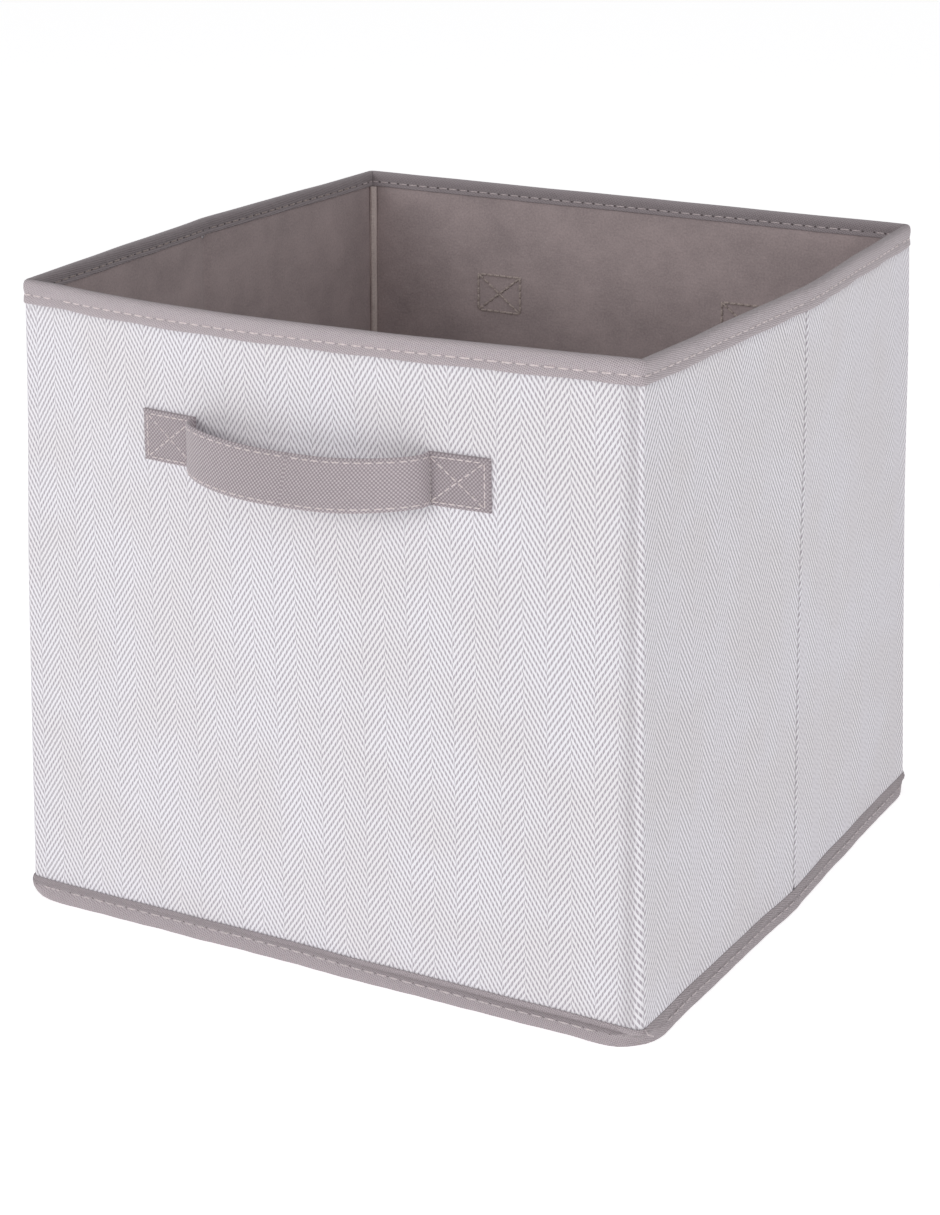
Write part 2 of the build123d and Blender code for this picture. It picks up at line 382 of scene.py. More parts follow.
# Taupe tape of the bindings: a fine dotted weave, with a needle hole between each two stitches.
seamStitch = dict(pitch=6.6, dash=4.9, hole=0.55)
sewing = dict(topHeight=308.0, insideHeight=309.2, footHeight=6.1, size=0.36)
tapeTone = dict(light=tone(188, 178, 182), dark=tone(138, 127, 131), slitShade=tone(78, 68, 68))
bindingTape, t, skin, where = cloth("bindingTape", 0.8, 0.2)
spot = millimetres(t, where)
weave = useGroup(t, weaveTree, Place=spot, Threads=0.68, Slant=0.5)
shade = sums(t, "MULTIPLY_ADD", weave.outputs["Height"], 0.45,
             sums(t, "MULTIPLY", weave.outputs["Speck"], 0.55))
colour = mixTone(t, ramp(t, shade, 0.25, 0.62), tapeTone["dark"], tapeTone["light"])
walk = node(t, "ShaderNodeSeparateXYZ", {0: spot}).outputs[0]
between = (seamStitch["pitch"] + seamStitch["dash"]) / 2
turn = sums(t, "FLOORED_MODULO", sums(t, "SUBTRACT", walk, between - seamStitch["pitch"] / 2), seamStitch["pitch"])
alongGap = sums(t, "DIVIDE", sums(t, "SUBTRACT", turn, seamStitch["pitch"] / 2), 0.8)
rowMask = node(t, "ShaderNodeAttribute", attribute_name="row").outputs["Fac"]
fromRow = sums(t, "DIVIDE", rowMask, seamStitch["hole"])
nearHole = sums(t, "ADD", sums(t, "MULTIPLY", alongGap, alongGap), sums(t, "MULTIPLY", fromRow, fromRow))
# A painted shade mask from the piece itself: 0.2 darkens the inside leg as painted shade, and 1 is the painted
# shadow in the slit at a sewn corner.
paintedShadeMask = node(t, "ShaderNodeAttribute", attribute_name="fold").outputs["Fac"]
# The needle holes are painted dark as shade: lightly on the outer leg, strongly where the painted shade mask is
# high.
holes = sums(t, "MULTIPLY", ramp(t, nearHole, 0.5, 1.2, 1.0, 0.0), ramp(t, paintedShadeMask, 0.0, 0.2, 0.25, 0.8))
colour = mixTone(t, holes, colour, tapeTone["slitShade"])
t.links.new(mixTone(t, paintedShadeMask, colour, tapeTone["slitShade"]), skin.inputs["Base Color"])
relief = bump(t, weave.outputs["Height"], 0.7, 0.0005)
relief = bump(t, noise(t, spot, 0.12, 2.0), 0.5, 0.002, relief)
t.links.new(relief, skin.inputs["Normal"])

# Strap webbing: embossed with a close grid of dots.
strapTone = dict(light=tone(192, 182, 186), dark=tone(143, 132, 137), shade=tone(92, 80, 84))
strapWebbing, t, skin, where = cloth("strapWebbing", 0.75, 0.2)
spot = millimetres(t, where)
weave = useGroup(t, weaveTree, Place=spot, Threads=0.53, Slant=0.0)
dots = ramp(t, weave.outputs["Height"], 0.35, 0.8)
shade = sums(t, "MULTIPLY_ADD", dots, 0.6, sums(t, "MULTIPLY", weave.outputs["Speck"], 0.4))
colour = mixTone(t, ramp(t, shade, 0.15, 0.75), strapTone["dark"], strapTone["light"])
# The painted shade mask mixes in the shade colour as painted shade on the sewn ends.
paintedShadeMask = node(t, "ShaderNodeAttribute", attribute_name="fold").outputs["Fac"]
t.links.new(mixTone(t, paintedShadeMask, colour, strapTone["shade"]), skin.inputs["Base Color"])
relief = bump(t, dots, 0.6, 0.0005)
relief = bump(t, weave.outputs["Speck"], 0.3, 0.0006, relief)
t.links.new(relief, skin.inputs["Normal"])

# Non-woven lining: cloudy, with small fibres.
liningTone = dict(light=tone(190, 174, 174), dark=tone(154, 141, 142), fibre=tone(190, 177, 176))
liningCloth, t, skin, where = cloth("liningCloth", 0.9, 0.15)
spot = millimetres(t, where)
cloud = noise(t, spot, 0.03, 4.0, 0.6)
fine = noise(t, spot, 0.9, 4.0, 0.75)
mixed = sums(t, "MULTIPLY_ADD", cloud, 0.42, sums(t, "MULTIPLY", fine, 0.58))
colour = mixTone(t, ramp(t, mixed, 0.3, 0.7), liningTone["dark"], liningTone["light"])
stretched = node(t, "ShaderNodeMapping", {0: spot, 3: (1.0, 3.0, 1.0)}).outputs[0]
fibre = ramp(t, noise(t, stretched, 0.7, 4.0, 0.8), 0.58, 0.75, 0.0, 0.5)
t.links.new(mixTone(t, fibre, colour, liningTone["fibre"]), skin.inputs["Base Color"])
relief = bump(t, fine, 0.4, 0.0004)
relief = bump(t, noise(t, spot, 0.06, 3.0), 0.3, 0.003, relief)
t.links.new(relief, skin.inputs["Normal"])


def retinted(name, source, dark, light):
    # A copy of a material with other colours in its lowest mix.
    made = source.copy()
    made.name = name
    for one in made.node_tree.nodes:
        if one.type == "MIX" and not one.inputs[6].is_linked:
            one.inputs[6].default_value, one.inputs[7].default_value = dark, light
    return made


# Pale welt of the corner seams: the lining's own cloth, lightened as a painted highlight along the ridge.
litSeamCloth = retinted("litSeamCloth", liningCloth, tone(190, 175, 171), tone(232, 218, 213))

# Bottom cloth: dark non-woven with a pin-point emboss.
bottomTone = dict(light=tone(96, 88, 88), dark=tone(70, 63, 64))
bottomCloth, t, skin, where = cloth("bottomCloth", 0.9, 0.1)
spot = millimetres(t, where)
weave = useGroup(t, weaveTree, Place=spot, Threads=0.33, Slant=1.0)
shade = sums(t, "MULTIPLY_ADD", weave.outputs["Height"], 0.5, sums(t, "MULTIPLY", weave.outputs["Speck"], 0.5))
colour = mixTone(t, ramp(t, shade, 0.2, 0.8), bottomTone["dark"], bottomTone["light"])
t.links.new(colour, skin.inputs["Base Color"])
t.links.new(bump(t, weave.outputs["Height"], 0.5, 0.0005), skin.inputs["Normal"])

# Grey board with flecks of fibre.
cardTone = dict(light=tone(158, 146, 128), dark=tone(128, 116, 98))
stiffenerCard, t, skin, where = cloth("stiffenerCard", 0.95, 0.0)
spot = millimetres(t, where)
flecks = noise(t, spot, 1.1, 5.0, 0.8)
colour = mixTone(t, ramp(t, flecks, 0.35, 0.65), cardTone["dark"], cardTone["light"])
t.links.new(colour, skin.inputs["Base Color"])
t.links.new(bump(t, flecks, 0.3, 0.0004), skin.inputs["Normal"])

# Sewing thread: cream, twisted.
threadTone = dict(light=tone(224, 213, 213), dark=tone(186, 173, 174))
sewingThread, t, skin, where = cloth("sewingThread", 0.6, 0.2)
spot = millimetres(t, where, "Object")
twist = noise(t, spot, 2.4, 2.0)
colour = mixTone(t, ramp(t, twist, 0.35, 0.65), threadTone["dark"], threadTone["light"])
t.links.new(colour, skin.inputs["Base Color"])
t.links.new(bump(t, twist, 0.4, 0.0002), skin.inputs["Normal"])

# Darker copies of the same thread, as painted shade: one where it lies in the lining inside the bin, and one where
# it has sunk into the bottom binding.
shadedInnerThread = retinted("shadedInnerThread", sewingThread, tone(152, 138, 133), tone(198, 184, 178))
shadedSunkThread = retinted("shadedSunkThread", sewingThread, tone(176, 165, 168), tone(208, 197, 198))
print("stage: materials")

# Regions of the wall: the columns of each, and the body it follows or the two bodies it lies between.
blockSteps = np.concatenate([
    np.array([0, 5, 8.5, 10.5, 12, 13.3, 14.5, 15.8]) * straightShare / 17,
    np.linspace(straightShare, 1 - straightShare, 9),
    1 - np.array([15.8, 14.5, 13.3, 12, 10.5, 8.5, 5, 0]) * straightShare / 17])
creasePlaces = np.array([0, 0.3, 0.6, 0.9, 1.2, 1.7, 2.3, 3, 3.8, 4.7, 5.8, 7.2, 9, 12, 16, 21, 27, 35])
creasePlaces = np.concatenate([creasePlaces, np.linspace(44, 143, 18)])
creasePlaces = np.concatenate([-creasePlaces[:0:-1], creasePlaces])
creaseSteps = (creasePlaces + 143) / 286
runSteps = np.linspace(0, 1, 61)
pastHinge = 0.739  # the share of the front left block that reaches just past its fold line

hx, hy = wall["hingeX"], wall["hingeY"]
regions = [
    dict(name="front", columns=runSteps, bodies=["front_wall"], cad=["front"]),
    dict(name="frontRightCorner", columns=1 + blockSteps, bodies=["right_front_half", "front_wall"],
         line=((hx + 4, -hy + 4), (hx - 4, -hy - 4))),
    dict(name="rightSide", columns=2 + creaseSteps, bodies=["right_rear_half", "right_front_half"],
         crease=1, cad=["right_rear", "right_front"]),
    dict(name="rearRightCorner", columns=3 + blockSteps, bodies=["back_wall", "right_rear_half"],
         line=((hx - 4, hy + 4), (hx + 4, hy - 4))),
    dict(name="back", columns=4 + runSteps, bodies=["back_wall"], cad=["back"]),
    dict(name="rearLeftCorner", columns=5 + blockSteps, bodies=["back_wall", "left_rear_half"],
         line=((-hx + 4, hy + 4), (-hx - 4, hy - 4))),
    dict(name="leftSide", columns=6 + creaseSteps, bodies=["left_rear_half", "left_front_half"],
         crease=-1, cad=["left_rear", "left_front"]),
    dict(name="frontLeftSideEnd", columns=7 + blockSteps[blockSteps < 0.7001], bodies=["left_front_half"],
         under=0.06, last=7 + pastHinge),
    dict(name="frontLeftFrontEnd", columns=7 + blockSteps[blockSteps > 0.2999], bodies=["front_wall"],
         first=8 - pastHinge, shift=-perimeter),
]
for region in regions:
    ends = [np.array([region[key]]) for key in ("first", "last") if key in region]
    region["columns"] = np.unique(np.concatenate([region["columns"], *ends]).round(6))


def attach(piece, region):
    # A piece on one body follows that body; a piece between two, round a corner or at a crease, is baked in place
    # and follows neither.
    if len(region["bodies"]) == 1:
        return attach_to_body(piece, region["bodies"][0])
    if "crease" in region:
        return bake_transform(piece)
    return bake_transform(piece)


def stand(region, layer):
    names = [f"{one}_{layer}" for one in region.get("cad", [])]
    if names:
        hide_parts(*names)


def creaseGroove(w, depth, width):
    # Depth of the pressed fold line, zero away from the crease in the middle of a side.
    x, y = wrap(w, 0, wall["radius"])[:2]
    middle = (abs(x) > wall["halfWidth"] - 1) & (abs(y) < 40)
    return np.where(middle, depth * np.exp(-(y / width) ** 2), 0.0)


# Height, how far it stands out at the front and at the sides, and its corner radius.
footTape = dict(outline=np.array([
    (9.9, -0.3, -0.3, 3.2), (10.5, 0.3, 0.1, 3.4), (10.4, 0.7, 0.3, 3.6), (9.6, 1.0, 0.55, 3.8),
    (8.6, 1.05, 1.2, 4.2), (7.8, 0.7, 1.35, 5.0), (7.4, 0.55, 1.4, 8.0), (7.1, 1.5, 1.5, 12.0),
    (6.4, 2.6, 1.75, 16.0), (5.0, 3.0, 1.95, 19.0), (2.8, 3.0, 2.0, 20.0), (1.1, 2.8, 1.85, 20.0),
    (0.25, 2.2, 1.4, 19.5), (0.0, 1.2, 0.6, 19.0), (0.0, -3.2, -3.2, 8.0), (0.9, -3.2, -3.2, 8.0),
    (0.95, -0.9, -0.9, 12.0), (5.0, -0.9, -0.9, 9.0)]), roundness=(1.0, 0.7, 0.7, 0.6))


def footRadius(w, radius):
    # The flange is rounder at some corners than at others.
    share = np.array(footTape["roundness"])[np.clip(np.floor(w), 0, 7).astype(int) // 2]
    return 3.2 + (radius - 3.2) * share


# Printed skin.
skinCut = dict(bottom=0.9, top=311.0, thick=0.5, tuck=1.15, groove=0.9, mark=0.6)
skinRows = np.concatenate([[0.9, 3, 5, 6.8, 8.5, 9.3], np.linspace(10, 300, 49),
                           [303.6, 304.4, 305.2, 308.0, 311.0]])


def skinPart(region):
    w, z = region["columns"][:, None], skinRows[None, :]
    inset = np.interp(z, [303.6, 305.2], [0, skinCut["tuck"]]) + creaseGroove(w, skinCut["groove"], 1.1)
    inset = inset + region.get("under", 0)
    radius = footRadius(w - 1e-9, np.interp(z, [0, 5, 8.5, 10, 315], [19.0, 17.0, 8.0, 3.9, 3.0]))
    inset = inset + np.interp(z, [6, 9], [0.7, 0])
    outer = place(w, inset, z, radius)
    inner = place(w, inset + skinCut["thick"], z, radius - skinCut["thick"])
    u = np.broadcast_to(lengthAt(w - 1e-9) + region.get("shift", 0), outer.shape[:2])
    uv = np.stack([u, np.broadcast_to(z, u.shape)], -1)
    piece = shell(region["name"] + "Skin", outer, inner, uv, printedCloth)
    if "crease" in region:
        # Painted shade along the pressed fold line, passed to the material as the fold mask.
        line = np.broadcast_to(creaseGroove(w, 0.75, skinCut["mark"]), outer.shape[:2])
        note(piece, "fold", [line, line])
    # Painted shade: a faint dark band down the rounded front right corner, through the fold mask.
    if region["name"] == "frontRightCorner":
        line = np.broadcast_to(0.3 * np.exp(-((w - 1.26) / 0.08) ** 2), outer.shape[:2])
        note(piece, "fold", [line, line])
    attach(piece, region)
    stand(region, "outer_fabric")


for region in regions:
    skinPart(region)
print("stage: printed skins")

# Lining.
liningCut = dict(bottom=0.9, top=311.0, face=3.2, thick=0.35, dip=1.5)
liningRows = np.concatenate([[0.9, 3.0, 5.0], np.linspace(7, 300, 50), [304.5, 306.0, 307.5, 311.0]])


def liningPart(region):
    w, z = region["columns"][:, None], liningRows[None, :]
    face = liningCut["face"] - creaseGroove(w, liningCut["dip"], 4.0) + 0 * z
    face = face - np.interp(z, [304.5, 307.5], [0, 0.35]) - region.get("under", 0)
    radius = np.interp(z, [0, 4, 7], [10.0, 6.0, 0.4]) + 0 * face
    inner = place(w, face, z, radius)
    outer = place(w, face - liningCut["thick"], z, radius + liningCut["thick"])
    u = np.broadcast_to(lengthAt(w - 1e-9), outer.shape[:2])
    uv = np.stack([u, np.broadcast_to(z, u.shape)], -1)
    piece = shell(region["name"] + "Lining", outer, inner, uv, liningCloth)
    attach(piece, region)
    stand(region, "lining")


for region in regions:
    liningPart(region)
print("stage: linings")

# Cards, stiffening each flat part of the wall.
cardCut = dict(bottom=0.9, top=303.0, outer=0.75, inner=2.65, creaseGap=6.0)


def cardPart(name, body, cad, columns):
    w, z = columns[:, None], np.linspace(cardCut["bottom"], cardCut["top"], 30)[None, :]
    outer = place(w, cardCut["outer"] + 0 * z, z)
    inner = place(w, cardCut["inner"] + 0 * z, z, 0.5)
    u = np.broadcast_to(lengthAt(w), outer.shape[:2])
    uv = np.stack([u, np.broadcast_to(z, u.shape)], -1)
    piece = shell(name + "Card", outer, inner, uv, stiffenerCard)
    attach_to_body(piece, body)
    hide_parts(cad)


sideStart = np.linspace(0, 0.5 - cardCut["creaseGap"] / 286, 20)
cardPart("front", "front_wall", "front_card", np.linspace(0, 1, 40))
cardPart("back", "back_wall", "back_card", 4 + np.linspace(0, 1, 40))
cardPart("rightFront", "right_front_half", "right_front_card", 2 + sideStart)
cardPart("rightRear", "right_rear_half", "right_rear_card", 3 - sideStart[::-1])
cardPart("leftRear", "left_rear_half", "left_rear_card", 6 + sideStart)
cardPart("leftFront", "left_front_half", "left_front_card", 7 - sideStart[::-1] - 1e-9)
print("stage: cards")

# Top binding: outline as (height, depth under the outer face).
rimTape = dict(outline=np.array([
    (304.1, 0.15), (303.9, -0.45), (304.5, -0.75), (306.2, -0.62), (307.4, -0.4), (308.0, -0.22),
    (308.7, -0.42), (310.5, -0.75), (312.8, -0.7), (314.2, -0.2), (314.85, 0.7), (315.0, 1.6),
    (314.85, 2.6), (314.2, 3.4), (313.2, 3.85), (311.6, 3.9), (310.0, 3.7), (309.2, 3.48),
    (308.4, 3.68), (307.5, 3.85), (306.9, 3.85), (306.6, 3.6), (306.8, 3.2),
    (312.2, 2.9), (313.2, 2.3), (313.2, 1.0), (312.2, 0.4)]), insideShade=0.2)


def rimPart(region):
    w = region["columns"][:, None]
    z, inset = rimTape["outline"][:, 0][None, :], rimTape["outline"][:, 1][None, :]
    u = lengthAt(w - 1e-9)
    # Small puckers along the seam, as waves whose height follows a slower wave.
    turn = 2 * np.pi * u / perimeter
    pucker = 0.16 * np.sin(107 * turn) * (0.6 + 0.4 * np.sin(13 * turn + 1)) + 0.1 * np.sin(61 * turn + 2)
    side = np.clip((1.6 - inset) / 1.6, -1, 1) * np.clip((315 - z) / 4, 0, 1)
    inset = inset - pucker * side + creaseGroove(w, 0.4, 1.2) * np.clip(side, 0, 1) + region.get("under", 0)
    z = z + 0.25 * np.sin(29 * turn + 0.7) * (z < 305) + 0 * u
    loops = place(w, inset, z, np.clip(3.0 - inset, 0.5, 4.0))
    steps = np.concatenate([[0], np.cumsum(np.hypot(*np.diff(rimTape["outline"], axis=0).T))])
    uv = np.stack(np.broadcast_arrays(u, steps[None, :]), -1)
    piece = band(region["name"] + "RimTape", loops, uv, bindingTape)
    # Painted shade: the inside leg is darkened all along, and more deeply in the slits at the sewn corners.
    inside = np.clip((rimTape["outline"][:, 1] - 1.6) / 1.5, 0, 1)[None, :]
    slitShade = np.exp(-((np.mod(w, 1) - 0.5) / 0.03) ** 2) * (np.mod(np.floor(w), 2) == 1)
    note(piece, "fold", inside * np.maximum(rimTape["insideShade"], slitShade))
    rows = [steps[5], steps[17]]
    note(piece, "row", np.min([abs(steps - row) for row in rows], axis=0)[None, :] + 0 * slitShade)
    attach(piece, region)
    stand(region, "top_binding")


for region in regions:
    rimPart(region)


def footShape(w):
    # How far a place round the bin counts as side rather than front or back, 0 to 1.
    w = np.mod(w, 4)
    eased = np.clip((np.where(w < 2, w - 1, 4 - w) - 0.35) / 0.45, 0, 1)
    return eased * eased * (3 - 2 * eased)


def footLift(w):
    # Towards the front left corner the flange starts right under the cloth, so its groove lies higher.
    w = np.mod(w + 1, 8) - 1
    rise, fall = np.clip((w + 1.4) / 0.6, 0, 1), np.clip((0.85 - w) / 0.5, 0, 1)
    share = rise * fall
    return share * share * (3 - 2 * share)


def footPart(region):
    w = region["columns"][:, None]
    z, front, side, radius = (footTape["outline"][::-1, k][None, :] for k in range(4))
    share = footShape(w)
    proud = front * (1 - share) + side * share
    # At the front left corner the flange hangs straight down and only its lower edge is round.
    hanging = np.interp(z, [0, 2.8, 5.0, 6.4, 7.8, 9.5], [16.0, 11.0, 7.5, 6.0, 4.8, 3.8])
    radius = np.where(np.floor(w - 1e-9) == 7, hanging, footRadius(w - 1e-9, radius))
    lift = footLift(w)
    fill = np.interp(z, [6.4, 7.4, 8.6], [0.1, 0.95, 0.1]) * (front > 0.2)
    proud = proud + lift * fill
    z = z + lift * np.interp(z, [4.0, 6.4, 7.8, 9.6, 10.5], [0, 1.5, 1.5, 0.5, 0]) * (front > 0.2)
    u = wrap(w - 1e-9, -proud, radius + np.clip(proud, 0, 3))[4]
    turn = 2 * np.pi * u / perimeter
    loose = np.clip((proud - 0.4) / 2, 0, 1)
    proud = proud + loose * (0.15 * np.sin(83 * turn + 1) + 0.12 * np.sin(37 * turn))
    proud = proud - region.get("under", 0)
    z = np.maximum(z + 0.2 * np.sin(19 * turn) * (z > 6) * (z < 9), 0) + 0 * u
    loops = place(w, -proud, z, radius + np.clip(proud, 0, 3))
    plain = footTape["outline"][::-1, :2]
    steps = np.concatenate([[0], np.cumsum(np.hypot(*np.diff(plain, axis=0).T))])
    uv = np.stack(np.broadcast_arrays(u, steps[None, :]), -1)
    piece = band(region["name"] + "FootTape", loops, uv, bindingTape)
    row = np.interp(sewing["footHeight"], plain[4:15, 0], steps[4:15])
    note(piece, "row", abs(steps - row)[None, :] + 0 * loops[:, :, 0])
    # Painted shade over the whole foot tape, stronger on the sides.
    note(piece, "fold", 0.14 + 0.06 * share + 0 * loops[:, :, 0])
    attach(piece, region)
    stand(region, "bottom_binding")


for region in regions:
    footPart(region)
print("stage: bindings")


def wallPath(insetAt, height, out):
    def path(s, across, up):
        w = walkTo(s)
        inset = insetAt(w) - out * up
        radius = np.clip(3.0 - inset, 0.5, 22.0)
        return place(w, inset, height + across, radius)
    return path


def footPath(s, across, up):
    w = walkTo(s)
    # The flange is round at the corners, so its rows spread evenly over the arc.
    part = np.floor(w)
    share = (s - runStarts[part.astype(int)]) / cornerRun
    large = np.array(footTape["roundness"])[part.astype(int) // 2] > 0.9
    w = np.where((part % 2 == 1) & large, part + 0.3 + 0.4 * np.clip(share, 0, 1), w)
    share = footShape(w)
    proud = 2.68 * (1 - share) + 1.8 * share + up
    return place(w, -proud, sewing["footHeight"] + 1.3 * footLift(w) + across, footRadius(w, 19.0) + proud)


def looseEnd(s, across, up):
    # A cut thread end lying over the corner of the seam, curling a little outwards.
    return place(1.64 + 0.03 * s, -(1.0 + 0.35 * s + up), 10.8 - 1.0 * s + across)


def stitchPart(region):
    first, last = lengthAt(region["columns"][[0, -1]] - [0, 1e-6])
    count = np.arange(math.ceil(first / seamStitch["pitch"]), math.floor(last / seamStitch["pitch"]) + 1)
    starts = count * seamStitch["pitch"] + 0.1 * np.sin(count * 2.4)
    lengths = seamStitch["dash"] + 0.25 * np.sin(count * 1.7 + 1)
    keep = (starts > first + 0.3) & (starts + lengths < last - 0.3)
    if "crease" in region:
        middle = (first + last) / 2
        keep &= abs(starts + lengths / 2 - middle) > 3.4
    if region["name"] in ("frontLeftSideEnd", "frontLeftFrontEnd"):
        middle = lengthAt(np.array(7.5))
        keep &= (starts + lengths / 2 < middle) == (region["name"] == "frontLeftSideEnd")
    starts, lengths = starts[keep], lengths[keep]
    size = sewing["size"]
    top = [(wallPath(lambda w: -0.24, sewing["topHeight"], 1), starts, lengths, size)]
    within = [(wallPath(lambda w: 3.5, sewing["insideHeight"], -1), starts, lengths, size * 0.8)]
    shaded = region["name"] in ("leftSide", "frontLeftSideEnd")
    piece = threads(region["name"] + "RimStitchesInside", within, shadedInnerThread if shaded else sewingThread)
    attach(piece, region)
    foot = [(footPath, starts, lengths, size)]
    if region["name"] == "frontRightCorner":
        # Here the row is sunk in the tape, and only the thread's cut end shows.
        foot = [(looseEnd, [0.0], [5.0], 0.45)]
    for layer, rows in (("top_stitching", top), ("bottom_stitching", foot)):
        label = "RimStitches" if layer == "top_stitching" else "FootStitches"
        piece = threads(region["name"] + label, rows, sewingThread if label == "RimStitches" else shadedSunkThread)
        attach(piece, region)
        stand(region, layer)


for region in regions:
    stitchPart(region)
print("stage: binding stitches")

# Welts of the corner seams inside.
seam = dict(size=2.0, inset=4.6, bottom=11.0, top=306.4)


def seamPart(name, w, body):
    z = np.linspace(seam["bottom"], seam["top"], 60)
    angle = np.arange(8) / 8 * 2 * np.pi
    centre = place(w, seam["inset"] + 0.25 * np.sin(z / 9) + 0 * z, z, 0.3)
    loops = centre[:, None, :] + seam["size"] * mm * np.stack(
        [np.cos(angle), np.sin(angle), 0 * angle], -1)[None, ::-1, :]
    uv = np.stack(np.broadcast_arrays(z[:, None], angle[None, :]), -1)
    piece = band(name, loops, uv, litSeamCloth)
    facing(piece)
    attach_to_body(piece, body)


seamPart("rearLeftSeam", 5.5, "back_wall")
seamPart("rearRightSeam", 3.5, "back_wall")
seamPart("frontRightSeam", 1.5, "front_wall")
seamPart("frontLeftSeam", 7.5, "front_wall")


# Base.
def slab(name, halfX, halfY, bottom, top, material, columns=24, corner=0.5, bow=0.0):
    # A flat plate with slightly rounded edges, as a shell between two grids. bow widens it
    # towards the creases.
    edge = np.sort(np.concatenate([np.linspace(-1, 1, columns), [-0.996, 0.996]]))
    x, y = np.meshgrid(edge * halfX, edge * halfY, indexing="ij")
    side = np.maximum(abs(x) / halfX, abs(y) / halfY) > 0.999
    # Points past the corner's circle are pulled back onto it.
    pastX, pastY = np.maximum(abs(x) - halfX + corner, 0), np.maximum(abs(y) - halfY + corner, 0)
    over = np.maximum(np.hypot(pastX, pastY) / corner, 1)
    x = np.sign(x) * (abs(x) - pastX + pastX / over)
    y = np.sign(y) * (abs(y) - pastY + pastY / over)
    x = x * (1 + bow / halfX * (1 - abs(y) / halfY))
    ease = 0.25 * (top - bottom) * side
    upper = np.stack([x, y, top - ease], -1) * mm
    lower = np.stack([x, y, bottom + ease], -1) * mm
    return shell(name, upper, lower, np.stack([x, y], -1), material)


baseCut = dict(cloth=(0.2, 0.8), tucked=2.7, corner=9.0, board=(160.0, 158.0, 1.2, 3.6),
               cover=(160.8, 158.8, 0.85, 4.0), anchorY=159.8, keep=0.04)
# The bottom cloth reaches under the foot of the walls, out to the creases.
reach = place(np.array([2.0, 2.5, 0.5]), baseCut["tucked"], 0.5) / mm
cornerX, creaseX, endY = reach[0, 0], reach[1, 0], -reach[2, 1]
bottomPiece = slab("bottomCloth", cornerX, endY, *baseCut["cloth"], bottomCloth, 70,
                   baseCut["corner"], creaseX - cornerX)
boardPiece = slab("baseCard", *baseCut["board"], stiffenerCard)
coverPiece = slab("baseCover", *baseCut["cover"], liningCloth)
for piece, cad, slotName in ((bottomPiece, "bottom_fabric", "bottom_cloth"),
                             (boardPiece, "base_card", "stiffener_card"),
                             (coverPiece, "base_cover", "lining_cloth")):
    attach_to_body(piece, "back_wall")
    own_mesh(piece)
    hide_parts(cad)
print("stage: base")

# Strap handles.
strap = dict(width=24.5, thick=1.6, half=61.5, end=29.5, bulge=22.3, height=252.2, centre=3.0,
             power=2.4, sag=3.2, tilt=20.0, endLift=2.0, endPower=3.1)


def handlePlace(wallName, x, out, z):
    # A point in front of the front wall, or its mirror behind the back wall.
    w = (x + strap["centre"] + 145) / 290
    return place(w if wallName == "front" else 4 + w, -out, z)


def strapCurve(a):
    # Half of the free span in plan, a superellipse that leaves the wall steeply.
    power = 2 / strap["power"]
    x = -strap["half"] * np.cos(a) ** power
    return x, strap["endLift"] + (strap["bulge"] - strap["endLift"]) * np.sin(a) ** power


def strapPoint(wallName, side, s, across, depth):
    # s is 0 at the sewn end and 1 at mid-span; across is up the strap, depth out of its face.
    # The band sags and its lower edge swings out towards mid-span.
    a = np.clip(s, 0, 1) * np.pi / 2
    x, out = strapCurve(a)
    later, sooner = strapCurve(np.clip(a + 1e-3, 0, np.pi / 2)), strapCurve(np.clip(a - 1e-3, 0, np.pi / 2))
    dx, do = later[0] - sooner[0], later[1] - sooner[1]
    long = np.hypot(dx, do) + 1e-12
    nx, no = -do / long, dx / long
    free = np.sin(a) ** strap["endPower"]
    tilt = np.radians(strap["tilt"]) * free
    z = strap["height"] - strap["sag"] * free + across * np.cos(tilt)
    out = out - across * np.sin(tilt) * no + depth * no
    return handlePlace(wallName, -side * (x + depth * nx), out, z)


def strapSection(count=9):
    # Outline of the band: a flat strip with rounded edges, as (across, depth).
    half, thick = strap["width"] / 2, strap["thick"] / 2
    flat = np.linspace(-1, 1, count) * (half - thick)
    lower = [(k, -thick) for k in flat]
    upper = [(k, thick) for k in flat[::-1]]
    tip = half - 0.1
    return np.array(lower + [(tip, -thick * 0.4), (tip, thick * 0.4)]
                    + upper + [(-tip, thick * 0.4), (-tip, -thick * 0.4)])


strapTable = np.linspace(0, 1, 400)
strapPlan = np.stack(strapCurve(strapTable * np.pi / 2), -1)
strapLength = np.concatenate([[0], np.cumsum(np.linalg.norm(np.diff(strapPlan, axis=0), axis=1))])


def strapRow(wallName, side, height):
    def path(s, across, up):
        return strapPoint(wallName, side, np.interp(s, strapLength, strapTable), height + across,
                          strap["thick"] / 2 - 0.05 + up)
    return path


def flatRow(wallName, start, end, out, sense=1):
    # A straight row of stitches on the wall or on a sewn end, from start to end in (x, z).
    start, end = np.array(start, float), np.array(end, float)
    length = float(np.linalg.norm(end - start))
    step = (end - start) / length

    def path(s, across, up):
        x = start[0] + step[0] * s - step[1] * across
        z = start[1] + step[1] * s + step[0] * across
        return handlePlace(wallName, x, out + sense * up, z)
    return path, length


def dashesOver(length, pitch, dash, first=0.4):
    starts = np.arange(first, length - dash * 0.6, pitch)
    return starts, np.minimum(dash + 0.3 * np.sin(starts * 3.1), length - starts)


boxSewing = dict(edge=1.9, endInset=2.4, pitch=4.2, dash=3.1, size=0.3)


